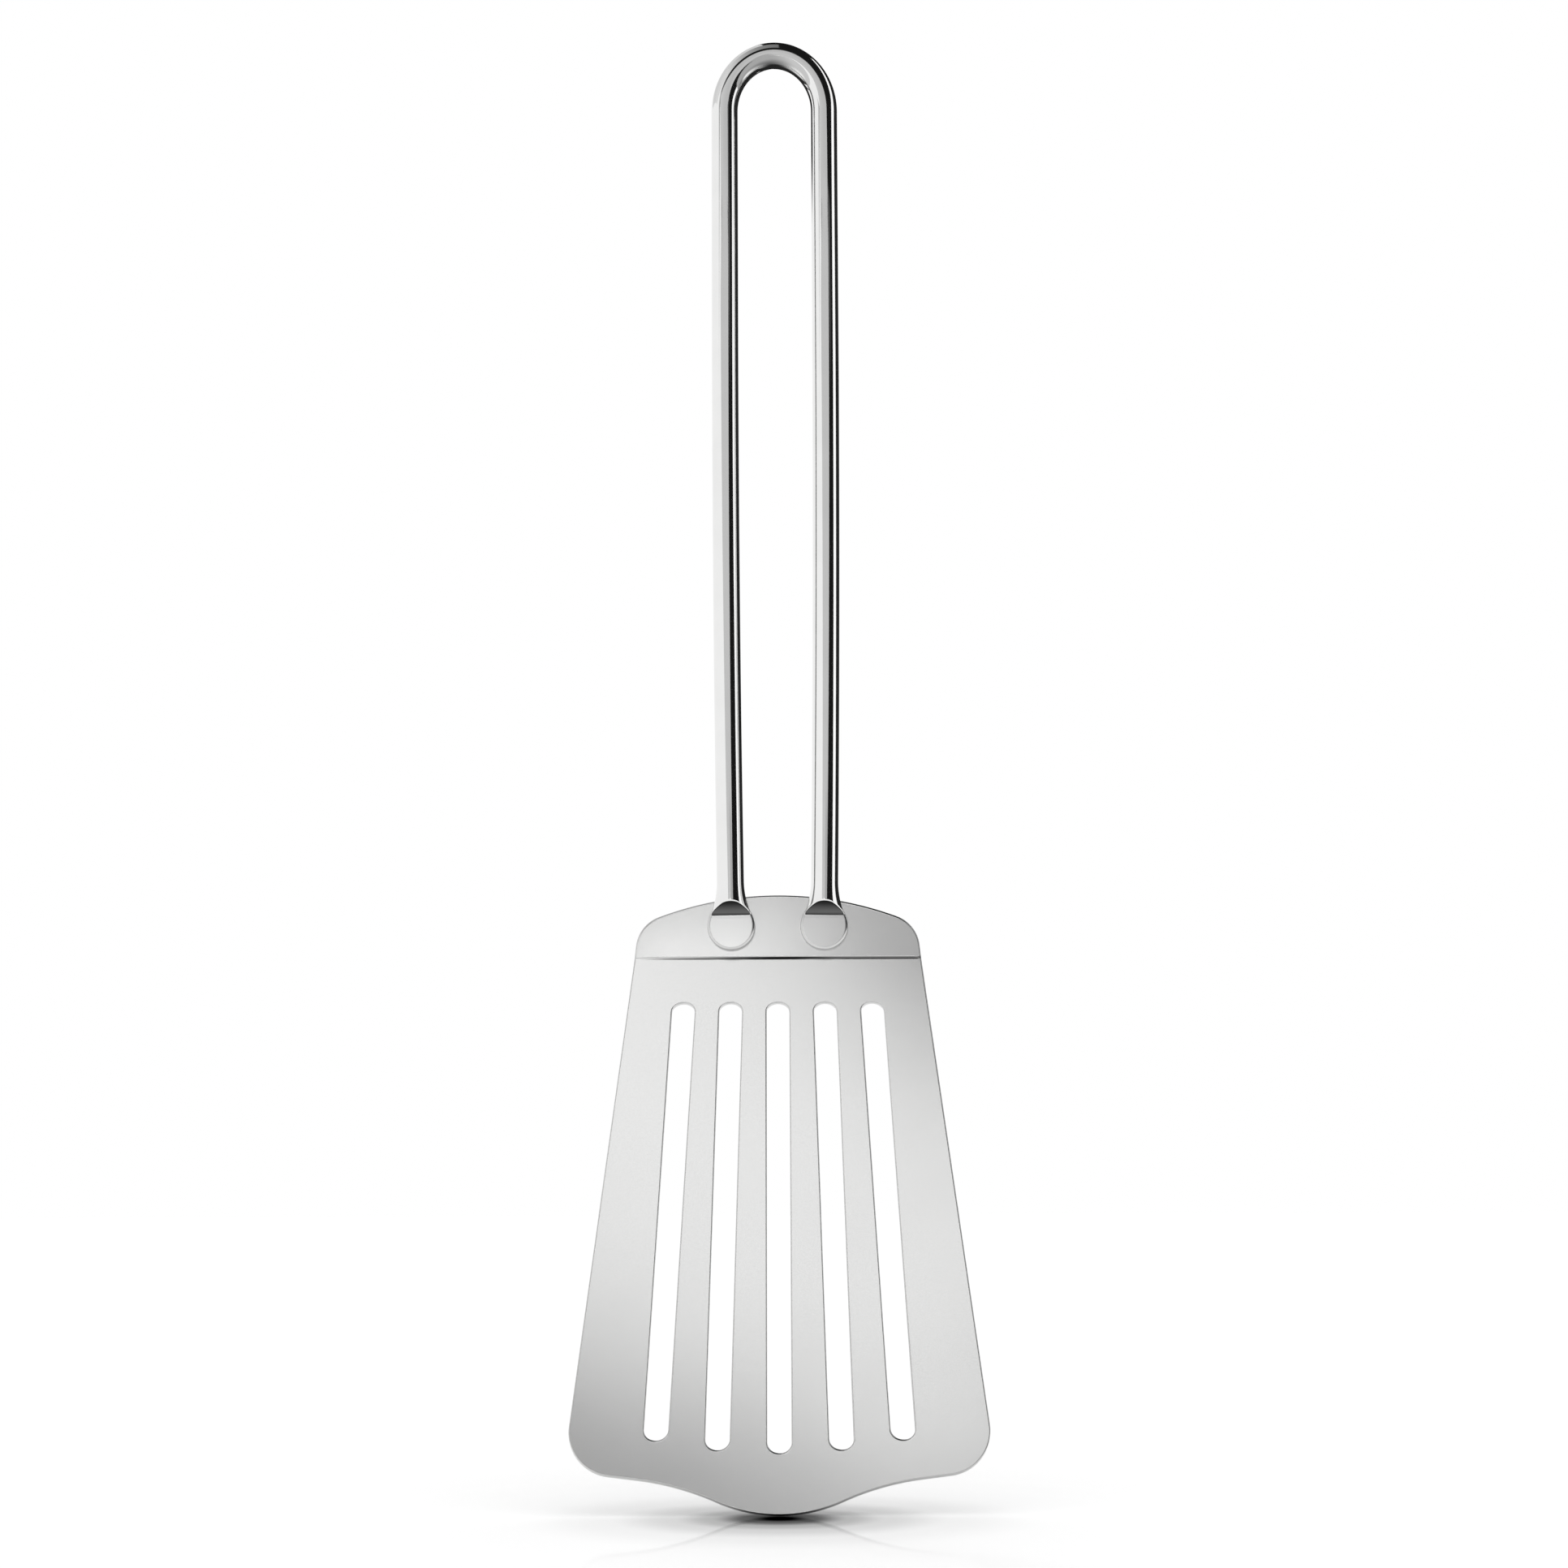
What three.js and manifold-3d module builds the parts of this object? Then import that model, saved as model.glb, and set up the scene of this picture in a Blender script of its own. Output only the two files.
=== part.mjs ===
// A slotted spatula: a folded sheet-steel blade on a looped rod handle with forged, welded feet.
// Millimetres, +Z up. The origin is the inside crown of the hanging loop and the handle hangs plumb
// below it. +X is to the right, and the food side of the blade faces -Y.
import * as THREE from 'three';
import { mergeVertices } from 'three/addons/utils/BufferGeometryUtils.js';
import Module from 'manifold-3d';

// Handle rod: a long hairpin whose bend is the hanging loop
const ROD_DIAMETER = 6;
const LOOP_INSIDE_WIDTH = 16.8;
const LOOP_RISE = 13.4;           // centre line of the half-oval bend, from the ends of the legs to its crown
const HANDLE_DROP = 197.7;        // inside crown of the loop down to the middle of the feet
const BOW_START = 60;             // below the crown, where the parallel legs begin to close in
const TOE_IN = 1.1;               // how far each leg has closed in at its foot

// Forged feet: the rod ends flattened into round discs, flush with the back of the rod
const FOOT_SPREAD = 2.25;         // how far a disc reaches past the rod on each side
const FOOT_THICKNESS = 2.6;
const FOOT_EDGE_RADIUS = 0.25;
const NECK_LENGTH = 10;           // middle of the disc up to where the rod begins to widen
const FACET_TOP = 5.3;            // stamped slope: height over the disc's middle at the rod's front
const FACET_BOTTOM = 2.7;         // and where it meets the disc's front
const BACK_SQUARENESS = 5;        // exponent of the flattened back of the neck, 2 being round

// Welds that hold the feet a little off the sheet
const WELD_DIAMETER = 6;
const WELD_HEIGHT = 0.2;

// Sheet blade: heights are measured on the food side, from the top of the fold
const SHEET_THICKNESS = 1.2;
const FOLD_ANGLE = 18;            // degrees, closing toward the food side
const FOLD_RADIUS = 1.5;          // inside the fold
const FOOT_MARGIN = 1.4;          // flat sheet between a foot and the fold
const FLANGE_RISE = 1.85;         // flange above the top of the discs, at the middle
const FLANGE_ARCH_RADIUS = 76;
const FLANGE_CORNER_RADIUS = 7.8;
const FOLD_WIDTH = 63.6;          // width of the sheet at the top of the fold
const SIDE_FLARE = 6.45;          // degrees, each side edge from plumb
const BLADE_LENGTH = 123.1;       // top of the fold to the tip of the tongue
const TONGUE_RADIUS = 32;
const FLANK_ANGLE = 24;           // degrees, steepest slope beside the tongue
const FLANK_RADIUS = 58;
const SHOULDER_ANGLE = 7.3;       // degrees, straight part of the lower edge
const CORNER_RADIUS = 9.4;

// Slots, fanned about the middle one
const SLOT_COUNT = 5;
const SLOT_WIDTH = 5;
const SLOT_PITCH = 10.1;          // between slot axes at the fold
const SLOT_FAN = 1.45;            // degrees between neighbouring slot axes
const SLOT_TOP = 10.8;            // fold to the upper ends
const SLOT_TIP_MARGIN = 12.8;     // lower end of the middle slot to the tip
const SLOT_STEP = 0.68;           // the lower ends rise by this times the square of the slot's number
const SLOT_END_RISE = 2.1;        // height of the rounded ends

// Facets
const ROD_SIDES = 28;
const LOOP_STEPS = 32;
const LEG_STEPS = 16;
const NECK_STEPS = 9;
const DISC_SIDES = 56;
const ARC_STEPS = 14;
const FOLD_STEPS = 3;

const DEGREE = Math.PI / 180;
const rodRadius = ROD_DIAMETER / 2;
const loopRadius = (LOOP_INSIDE_WIDTH + ROD_DIAMETER) / 2;
const loopCentreZ = rodRadius - LOOP_RISE;
const footRadius = rodRadius + FOOT_SPREAD;
const footX = loopRadius - TOE_IN;
const footZ = -HANDLE_DROP;
const footFrontY = rodRadius - FOOT_THICKNESS;
const sheetFrontY = rodRadius + WELD_HEIGHT;
const foldZ = footZ - footRadius - FOOT_MARGIN;
const flangeHeight = FOOT_MARGIN + 2 * footRadius + FLANGE_RISE;
const foldLength = FOLD_RADIUS * FOLD_ANGLE * DEGREE;

const wasm = await Module();
wasm.setup();

// Closed geometry to a solid for joining and cutting, and back again
function toSolid(geometry) {
  const bare = geometry.clone();
  bare.deleteAttribute('normal');
  bare.deleteAttribute('uv');
  const merged = mergeVertices(bare, 1e-4);
  return new wasm.Manifold(new wasm.Mesh({
    numProp: 3,
    vertProperties: new Float32Array(merged.attributes.position.array),
    triVerts: new Uint32Array(merged.index.array),
  }));
}

function toGeometry(solid) {
  const mesh = solid.getMesh();
  return makeGeometry(Array.from(mesh.vertProperties), Array.from(mesh.triVerts));
}

function makeGeometry(positions, indices) {
  const geometry = new THREE.BufferGeometry();
  geometry.setAttribute('position', new THREE.Float32BufferAttribute(positions, 3));
  geometry.setIndex(indices);
  geometry.computeVertexNormals();
  return geometry;
}

// Points on an arc from one angle to another, both ends included
function arcPoints(centre, radius, from, to) {
  const points = [];
  for (let step = 0; step <= ARC_STEPS; step += 1) {
    const angle = from + (to - from) * step / ARC_STEPS;
    points.push(new THREE.Vector2(centre.x + radius * Math.cos(angle), centre.y + radius * Math.sin(angle)));
  }
  return points;
}

function mirrored(points) {
  return points.map((point) => new THREE.Vector2(-point.x, point.y)).reverse();
}

// Blade outline, flat: x across, y up from the top of the fold, so that the blade below it is negative
const flare = SIDE_FLARE * DEGREE;
const sideInward = new THREE.Vector2(-Math.cos(flare), -Math.sin(flare));

function halfWidth(height) {
  return FOLD_WIDTH / 2 - Math.tan(flare) * height;
}

// Right half of the flange edge, from the fold up to the middle of the arch
function flangeEdge() {
  const archCentre = new THREE.Vector2(0, flangeHeight - FLANGE_ARCH_RADIUS);
  const reach = FLANGE_ARCH_RADIUS - FLANGE_CORNER_RADIUS;
  // the corner's centre lies on a line beside the side edge, at the reach from the arch's centre
  const start = new THREE.Vector2(halfWidth(0), 0).addScaledVector(sideInward, FLANGE_CORNER_RADIUS);
  const along = new THREE.Vector2(-Math.sin(flare), Math.cos(flare));
  const offset = start.clone().sub(archCentre);
  const half = offset.dot(along);
  const distance = -half + Math.sqrt(half * half - offset.lengthSq() + reach * reach);
  const centre = start.clone().addScaledVector(along, distance);
  const meet = centre.clone().sub(archCentre).angle();
  return [
    new THREE.Vector2(halfWidth(0), 0),
    ...arcPoints(centre, FLANGE_CORNER_RADIUS, flare, meet),
    ...arcPoints(archCentre, FLANGE_ARCH_RADIUS, meet, Math.PI / 2).slice(1),
  ];
}

// Right half of the lower edge, from the tip of the tongue to the fold
function lowerEdge() {
  const flank = FLANK_ANGLE * DEGREE;
  const shoulder = SHOULDER_ANGLE * DEGREE;
  const down = -Math.PI / 2;
  const tongueCentre = new THREE.Vector2(0, TONGUE_RADIUS - BLADE_LENGTH);
  const flankReach = TONGUE_RADIUS + FLANK_RADIUS;
  const flankCentre = new THREE.Vector2(
    flankReach * Math.sin(flank),
    tongueCentre.y - flankReach * Math.cos(flank),
  );
  const shoulderStart = new THREE.Vector2(
    flankCentre.x - FLANK_RADIUS * Math.sin(shoulder),
    flankCentre.y + FLANK_RADIUS * Math.cos(shoulder),
  );
  // the corner's centre lies one radius inside both the shoulder and the side edge
  const shoulderInward = new THREE.Vector2(-Math.sin(shoulder), Math.cos(shoulder));
  const shoulderReach = shoulderStart.dot(shoulderInward) + CORNER_RADIUS;
  const sideReach = sideInward.x * FOLD_WIDTH / 2 + CORNER_RADIUS;
  const cross = shoulderInward.cross(sideInward);
  const centre = new THREE.Vector2(
    (shoulderReach * sideInward.y - sideReach * shoulderInward.y) / cross,
    (shoulderInward.x * sideReach - sideInward.x * shoulderReach) / cross,
  );
  return [
    ...arcPoints(tongueCentre, TONGUE_RADIUS, down, down + flank),
    ...arcPoints(flankCentre, FLANK_RADIUS, -down + flank, -down + shoulder).slice(1),
    ...arcPoints(centre, CORNER_RADIUS, down + shoulder, flare),
    new THREE.Vector2(halfWidth(-foldLength), -foldLength),
  ];
}

function slotOutline(number) {
  const top = -SLOT_TOP;
  const bottom = -(BLADE_LENGTH - SLOT_TIP_MARGIN - SLOT_STEP * number * number);
  const lean = Math.tan(number * SLOT_FAN * DEGREE);
  const ends = [
    { height: top - SLOT_END_RISE, turn: 0 },
    { height: bottom + SLOT_END_RISE, turn: Math.PI },
  ];
  const points = [];
  for (const end of ends) {
    for (let step = 0; step <= ARC_STEPS; step += 1) {
      const angle = end.turn + Math.PI * step / ARC_STEPS;
      const height = end.height + SLOT_END_RISE * Math.sin(angle);
      const axis = number * SLOT_PITCH - lean * height;
      points.push(new THREE.Vector2(axis + SLOT_WIDTH / 2 * Math.cos(angle), height));
    }
  }
  return points;
}

// The fold: a point of the flat sheet, at a depth behind its food side, to its place in the bent sheet
function foldedPlace(point, depth) {
  const turn = THREE.MathUtils.clamp(-point.y / FOLD_RADIUS, 0, FOLD_ANGLE * DEGREE);
  const radius = FOLD_RADIUS + depth;
  const above = Math.max(point.y, 0);
  const below = Math.max(-point.y - foldLength, 0);
  return [
    point.x,
    sheetFrontY - FOLD_RADIUS + radius * Math.cos(turn) - below * Math.sin(turn),
    foldZ + above - radius * Math.sin(turn) - below * Math.cos(turn),
  ];
}

// The sheet is laid out as flat regions between the fold's lines, faced on both sides and walled round
// its cut edges, with every point put through the fold
function bladeGeometry() {
  const foldLines = [];
  for (let step = 0; step <= FOLD_STEPS; step += 1) {
    foldLines.push(-foldLength * step / FOLD_STEPS);
  }
  const flangeRight = flangeEdge();
  const bladeRight = lowerEdge();
  bladeRight[bladeRight.length - 1].y = foldLines[FOLD_STEPS];
  const slots = [];
  for (let place = 0; place < SLOT_COUNT; place += 1) {
    slots.push(slotOutline(place - (SLOT_COUNT - 1) / 2).reverse());
  }
  const regions = [
    { outline: [...flangeRight, ...mirrored(flangeRight).slice(1)], holes: [] },
    { outline: [...mirrored(bladeRight), ...bladeRight.slice(1)], holes: slots },
  ];
  for (let step = 0; step < FOLD_STEPS; step += 1) {
    const lower = [foldLines[step + 1], foldLines[step]].map((y) => new THREE.Vector2(halfWidth(y), y));
    regions.push({ outline: [...lower, ...mirrored(lower)], holes: [] });
  }

  const positions = [];
  const indices = [];
  const isFoldLine = (a, b) => a.y === b.y && foldLines.includes(a.y);
  for (const { outline, holes } of regions) {
    const points = [outline, ...holes].flat();
    const front = positions.length / 3;
    const back = front + points.length;
    points.forEach((point) => positions.push(...foldedPlace(point, 0)));
    points.forEach((point) => positions.push(...foldedPlace(point, SHEET_THICKNESS)));
    for (const [a, b, c] of THREE.ShapeUtils.triangulateShape(outline, holes)) {
      const clockwise = THREE.ShapeUtils.isClockWise([points[a], points[b], points[c]]);
      const [first, last] = clockwise ? [c, a] : [a, c];
      indices.push(front + first, front + b, front + last);
      indices.push(back + last, back + b, back + first);
    }
    let start = 0;
    for (const loop of [outline, ...holes]) {
      loop.forEach((point, place) => {
        const next = (place + 1) % loop.length;
        if (isFoldLine(point, loop[next])) {
          return;
        }
        const [a, b] = [start + place, start + next];
        indices.push(front + a, back + a, back + b);
        indices.push(front + a, back + b, front + b);
      });
      start += loop.length;
    }
  }
  return mergeVertices(makeGeometry(positions, indices), 1e-4);
}

// Handle: centre line in the XZ plane, from the left foot over the loop to the right foot
function legPoint(z) {
  const share = Math.max(0, (-z - BOW_START) / (HANDLE_DROP - BOW_START));
  const slope = 2 * TOE_IN * share / (HANDLE_DROP - BOW_START);
  return { x: loopRadius - TOE_IN * share * share, z, tangent: new THREE.Vector2(-slope, -1).normalize() };
}

// Half width of the foot's outline, as a fillet between the rod's side and the disc
const filletRadius = (rodRadius ** 2 + NECK_LENGTH ** 2 - footRadius ** 2) / (2 * FOOT_SPREAD);
const filletEnd = NECK_LENGTH * footRadius / (footRadius + filletRadius);

function neckHalfWidth(height) {
  const drop = Math.max(0, NECK_LENGTH - height);
  return rodRadius + filletRadius - Math.sqrt(filletRadius ** 2 - drop ** 2);
}

// One section of the rod or neck: across the rod, then front to back
function section(halfWide) {
  const widening = (halfWide - rodRadius) / FOOT_SPREAD;
  const power = 2 / (2 + (BACK_SQUARENESS - 2) * Math.min(1, widening));
  const points = [];
  for (let side = 0; side < ROD_SIDES; side += 1) {
    const angle = 2 * Math.PI * side / ROD_SIDES;
    const across = Math.cos(angle);
    const depth = Math.sin(angle);
    if (depth < 0) {
      const wide = halfWide + (halfWide - rodRadius) * depth;
      points.push(new THREE.Vector2(wide * across, rodRadius * depth));
    } else {
      const wide = halfWide * Math.sign(across) * Math.abs(across) ** power;
      points.push(new THREE.Vector2(wide, rodRadius * depth ** power));
    }
  }
  return points;
}

// Stations of the right half of the handle, from the crown of the loop down to inside the disc
function rightStations() {
  const stations = [];
  for (let step = 0; step < LOOP_STEPS / 2; step += 1) {
    const angle = Math.PI / 2 - Math.PI * step / LOOP_STEPS;
    stations.push({
      x: loopRadius * Math.cos(angle),
      z: loopCentreZ + LOOP_RISE * Math.sin(angle),
      tangent: new THREE.Vector2(loopRadius * Math.sin(angle), -LOOP_RISE * Math.cos(angle)).normalize(),
      halfWide: rodRadius,
    });
  }
  const neckTopZ = footZ + NECK_LENGTH;
  for (let step = 0; step < LEG_STEPS; step += 1) {
    const z = THREE.MathUtils.lerp(loopCentreZ, neckTopZ, step / LEG_STEPS);
    stations.push({ ...legPoint(z), halfWide: rodRadius });
  }
  for (let step = 0; step <= NECK_STEPS; step += 1) {
    const height = THREE.MathUtils.lerp(NECK_LENGTH, filletEnd, step / NECK_STEPS);
    stations.push({ ...legPoint(footZ + height), halfWide: neckHalfWidth(height) });
  }
  stations.push({ ...legPoint(footZ), halfWide: rodRadius });
  return stations;
}

function rodGeometry() {
  const right = rightStations();
  const left = right.slice(1).map((station) => ({
    ...station,
    x: -station.x,
    tangent: new THREE.Vector2(station.tangent.x, -station.tangent.y),
  }));
  const stations = [...left.reverse(), ...right];
  const positions = [];
  const indices = [];
  stations.forEach((station, row) => {
    const { x, z, tangent, halfWide } = station;
    for (const point of section(halfWide)) {
      positions.push(x + point.x * tangent.y, point.y, z - point.x * tangent.x);
    }
    if (row === 0) {
      return;
    }
    for (let side = 0; side < ROD_SIDES; side += 1) {
      const next = (side + 1) % ROD_SIDES;
      const [below, above] = [(row - 1) * ROD_SIDES, row * ROD_SIDES];
      indices.push(below + side, below + next, above + next);
      indices.push(below + side, above + next, above + side);
    }
  });
  const last = (stations.length - 1) * ROD_SIDES;
  for (let side = 1; side < ROD_SIDES - 1; side += 1) {
    indices.push(0, side + 1, side);
    indices.push(last, last + side, last + side + 1);
  }
  return makeGeometry(positions, indices);
}

// The die that stamps the feet: everything in front of the sloping facets and the discs' fronts
function dieGeometry() {
  const clearance = rodRadius;
  const slope = (FACET_TOP - FACET_BOTTOM) / (footFrontY + rodRadius);
  const outY = -rodRadius - clearance;
  const profile = new THREE.Shape([
    new THREE.Vector2(footFrontY, footZ + FACET_BOTTOM),
    new THREE.Vector2(outY, footZ + FACET_TOP + slope * clearance),
    new THREE.Vector2(outY, footZ - footRadius),
    new THREE.Vector2(footFrontY, footZ - footRadius),
  ]);
  const width = 2 * (footX + footRadius);
  const geometry = new THREE.ExtrudeGeometry(profile, { depth: width, bevelEnabled: false });
  geometry.translate(0, 0, -width / 2);
  const [acrossX, acrossY, acrossZ] = [0, 1, 2].map((axis) => new THREE.Vector3().setComponent(axis, 1));
  return geometry.applyMatrix4(new THREE.Matrix4().makeBasis(acrossY, acrossZ, acrossX));
}

// A disc turned about an axis along Y, with a rounded front edge
function discGeometry() {
  const rim = arcPoints(
    new THREE.Vector2(footRadius - FOOT_EDGE_RADIUS, footFrontY + FOOT_EDGE_RADIUS),
    FOOT_EDGE_RADIUS,
    -Math.PI / 2,
    0,
  );
  const profile = [
    new THREE.Vector2(0, footFrontY),
    ...rim.filter((point, place) => place % 2 === 0),
    new THREE.Vector2(footRadius, rodRadius),
    new THREE.Vector2(0, rodRadius),
  ];
  return new THREE.LatheGeometry(profile, DISC_SIDES);
}

function handleGeometry() {
  let solid = toSolid(rodGeometry()).subtract(toSolid(dieGeometry()));
  for (const side of [-1, 1]) {
    solid = solid.add(toSolid(discGeometry().translate(side * footX, 0, footZ)));
  }
  return toGeometry(solid);
}

// Finishes
const satinSteel = new THREE.MeshStandardMaterial({ color: 0xc9c9c8, metalness: 1, roughness: 0.38 });
const polishedSteel = new THREE.MeshStandardMaterial({ color: 0xd2d2d1, metalness: 1, roughness: 0.12 });
const weldSteel = new THREE.MeshStandardMaterial({ color: 0x9a9a98, metalness: 1, roughness: 0.55 });

function namedMesh(name, geometry, material) {
  const mesh = new THREE.Mesh(geometry, material);
  mesh.name = name;
  return mesh;
}

const spatula = new THREE.Group();
spatula.add(namedMesh('blade', bladeGeometry(), satinSteel));
spatula.add(namedMesh('handle', handleGeometry(), polishedSteel));
for (const [name, side] of [['weld_left', -1], ['weld_right', 1]]) {
  const nugget = new THREE.CylinderGeometry(WELD_DIAMETER / 2, WELD_DIAMETER / 2, WELD_HEIGHT, DISC_SIDES / 2);
  const weld = namedMesh(name, nugget, weldSteel);
  weld.position.set(side * footX, rodRadius + WELD_HEIGHT / 2, footZ);
  spatula.add(weld);
}

export default spatula;
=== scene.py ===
import math

import bpy
import numpy as np
from mathutils import Matrix, Vector
from mathutils.geometry import tessellate_polygon


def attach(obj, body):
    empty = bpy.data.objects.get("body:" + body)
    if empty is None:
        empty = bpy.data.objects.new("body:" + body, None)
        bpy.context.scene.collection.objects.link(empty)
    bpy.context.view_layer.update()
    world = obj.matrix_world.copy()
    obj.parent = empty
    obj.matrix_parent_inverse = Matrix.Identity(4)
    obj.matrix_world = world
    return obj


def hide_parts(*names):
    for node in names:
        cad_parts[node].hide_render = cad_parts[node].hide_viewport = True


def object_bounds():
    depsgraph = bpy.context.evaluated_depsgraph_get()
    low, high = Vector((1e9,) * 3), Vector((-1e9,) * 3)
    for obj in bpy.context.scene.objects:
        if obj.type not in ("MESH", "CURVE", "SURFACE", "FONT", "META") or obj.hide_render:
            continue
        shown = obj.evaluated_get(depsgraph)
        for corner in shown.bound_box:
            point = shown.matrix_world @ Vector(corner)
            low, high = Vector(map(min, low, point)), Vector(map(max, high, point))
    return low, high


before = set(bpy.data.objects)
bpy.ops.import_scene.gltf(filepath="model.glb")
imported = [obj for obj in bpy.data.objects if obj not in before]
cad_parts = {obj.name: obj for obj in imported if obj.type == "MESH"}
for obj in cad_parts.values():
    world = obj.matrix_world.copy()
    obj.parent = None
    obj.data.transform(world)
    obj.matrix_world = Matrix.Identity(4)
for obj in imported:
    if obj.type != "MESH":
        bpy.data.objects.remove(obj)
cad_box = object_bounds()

# A slotted steel spatula: a folded satin blade on a polished rod handle with forged, welded feet.
# Sizes of the object are in millimetres and become metres in make_piece. Those of the stage are in metres.
MM = 0.001
DEGREE = math.pi / 180
BACK = np.array((0.0, 1.0, 0.0))
ORIGIN = np.zeros(3)

# Handle rod
ROD_RADIUS = 3.0
LOOP_RADIUS = 11.4                # half the distance between the legs' centre lines
LOOP_RISE = 13.4                  # height of the half-oval bend on its centre line
HANDLE_DROP = 197.7               # inside crown of the loop down to the middle of the feet
BOW_START = 60.0                  # below the crown, where the legs begin to close in
TOE_IN = 1.1                      # how far each leg has closed in at its foot

# Forged feet
FOOT_RADIUS = 5.25
FOOT_THICKNESS = 2.6
FOOT_EDGE_RADIUS = 0.25
FOOT_BACK_EDGE_RADIUS = 0.2
FOOT_ROOT_RADIUS = 0.3            # hollow where the neck runs into the disc
FOOT_ROOT_DEPTH = 0.4             # how far behind the disc's front the neck ends inside it
NECK_LENGTH = 10.0
NECK_TAPER = 0.5                  # how fast the neck narrows inside the disc
NECK_LEAST_HALF_WIDTH = 1.0       # where that taper ends
NECK_LEAST_FRONT = 0.3            # least half width of the neck's front
NECK_SIDE_SOFTENING = 0.15
FACET_TOP = 5.3                   # heights of the stamped facet above the middle of the foot
FACET_BOTTOM = 2.7
FACET_EDGE_RADIUS = 0.32          # how far the stamped edges are softened
ROUND_POWER = 2.0                 # exponent of a round section
BACK_SQUARENESS = 5.0             # exponent of the squared back of the neck

# Sheet blade
SHEET_FRONT_Y = 3.2
SHEET_THICKNESS = 1.2
FRONT_EDGE_RADIUS = 0.3           # rolled side of the punched edges
UPPER_EDGE_EXTRA = 0.22           # how much more the edges are rolled where they face up
BACK_EDGE_RADIUS = 0.12
FOLD_ANGLE = 18.0 * DEGREE
FOLD_RADIUS = 1.5
FOLD_Z = -204.35
FLANGE_HEIGHT = 13.75
FLANGE_ARCH_RADIUS = 76.0
FLANGE_CORNER_RADIUS = 7.8
FOLD_WIDTH = 63.6
SIDE_FLARE = 6.45 * DEGREE
BLADE_LENGTH = 123.1
TONGUE_RADIUS = 32.0
FLANK_ANGLE = 24.0 * DEGREE
FLANK_RADIUS = 58.0
SHOULDER_ANGLE = 7.3 * DEGREE
CORNER_RADIUS = 9.4

# Slots
SLOT_NUMBERS = (-2, -1, 0, 1, 2)
SLOT_WIDTH = 5.0
SLOT_PITCH = 10.1
SLOT_FAN = 1.45 * DEGREE
SLOT_TOP = 10.8
SLOT_TIP_MARGIN = 12.8
SLOT_STEP = 0.68
SLOT_END_RISE = 2.1

# Bending mark pressed along the inside of the fold, with painted shade along it: a dark line in the crease,
# fainter on the outside of the fold
MARK_DEPTH = 0.25
MARK_HALF_WIDTH = 0.19
MARK_SHADE_CORE = 0.15            # up to here from its middle the painted shade is full
MARK_SHADE_HALF_WIDTH = 0.36
MARK_SHADE_GREY = 0.012
MARK_BACK_Y = (3.7, 4.1)          # between the food side and the back at the fold
MARK_BACK_SHADE_SHARE = 0.35            # of the painted shade that the outside of the fold shows
MARK_LEFT_FADE = (-32.0, 0.0)     # x over which the mark and its painted shade come in from nothing at the left
MARK_RIGHT_FADE = (2.0, 14.0)     # x over which it weakens again
MARK_RIGHT_SHARE = 0.72

# Welds, the solids themselves with a finish of their own
WELD_NODES = ("weld_left", "weld_right")

# Mesh fineness
ROD_SIDES = 96
LOOP_STEPS = 64
LEG_STEPS = 60
NECK_STEPS = 64
DISC_STEPS = 96
ARC_STEP = 0.35
EDGE_STEPS = 4
FOLD_ROWS = 22
FOLD_COLUMNS = 48
FOLD_MARGIN = 3.0                 # half widths of the mark that the fine rows reach past the fold
FOOT_SEARCH_REACH = 3.0           # lengths of a ray within which it leaves the foot
FOOT_SEARCH_STEPS = 40
FOOT_SLOPE_STEP = 0.004           # over which the slope of the foot's surface is measured
MARK_SLOPE_STEP = 0.01            # over which the slope of the bending mark is measured
LEAST_AREA = 1e-9                 # twice the area of a triangle that is too thin to be kept
TINY = 1e-12                      # keeps a root away from 0

# Finishes: noise scales are per metre, and bump distances are metres
GREY_STOPS = (0.3, 0.7)           # noise values at which a finish has its darker and its lighter grey
STEEL_BLUE = 0.995                # blue in the steel's greys, as a share of red and green
SATIN_GREYS = (0.60, 0.64)
SATIN_ROUGHNESS = (0.18, 0.22)
SATIN_GRAIN = dict(scale=5200.0, detail=2.0, stretch=(1.0, 1.0, 0.6))
SATIN_CLOUD = dict(scale=42.0, detail=3.0)
SATIN_BUMP = dict(distance=0.00001, strength=0.25)
POLISHED_GREYS = (0.82, 0.85)
POLISHED_ROUGHNESS = (0.05, 0.10)
POLISHED_HAZE = dict(scale=160.0, detail=4.0)
POLISHED_LINES = dict(scale=2600.0, detail=2.0, stretch=(1.0, 1.0, 0.05))
POLISHED_BUMP = dict(distance=0.000001, strength=0.1)
DISC_EXTRA_ROUGHNESS = 0.12
DISC_BLEND = 0.3                  # millimetres over which the discs' satin turns into the neck's polish
WELD_GREYS = (0.38, 0.56)
WELD_ROUGHNESS = (0.45, 0.65)
WELD_STAIN = dict(scale=900.0, detail=5.0)
WELD_BUMP = dict(distance=0.00008, strength=0.6)

# Floor, in metres. Its painted contact shadow and its mirror image lie round the tip of the blade.
FLOOR_REACH = 6.0                 # half its size
FLOOR_GAP = 0.00002               # keeps the floor clear of the tip
SHADOW_OFFSET = -0.003            # the middle of the painted contact shadow lies a little in front of the tip
SHADOW_REACH = 0.055
SHADOW_STOPS = ((0.045, 0.0), (0.13, 0.13), (0.26, 0.52), (0.4, 0.74), (0.65, 0.93), (1.0, 1.0))
MIRROR_REACH = 0.12               # over which the floor's faint mirror image fades
MIRROR_STRENGTH = 0.28
MIRROR_ROUGHNESS = 0.04
FLOOR_GLOW = 0.04                 # makes up for the light that the object keeps off the floor

# Camera, fitted to the photograph, its place in millimetres
IMAGE_WIDTH = 1932.0
FOCAL_PIXELS = 3700.0
CAMERA_PLACE = (1.55, -662.86, -254.5)
CAMERA_TILT_UP = 7.6 * DEGREE
CAMERA_ROLL = -0.26 * DEGREE
SENSOR_WIDTH = 36.0

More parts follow.
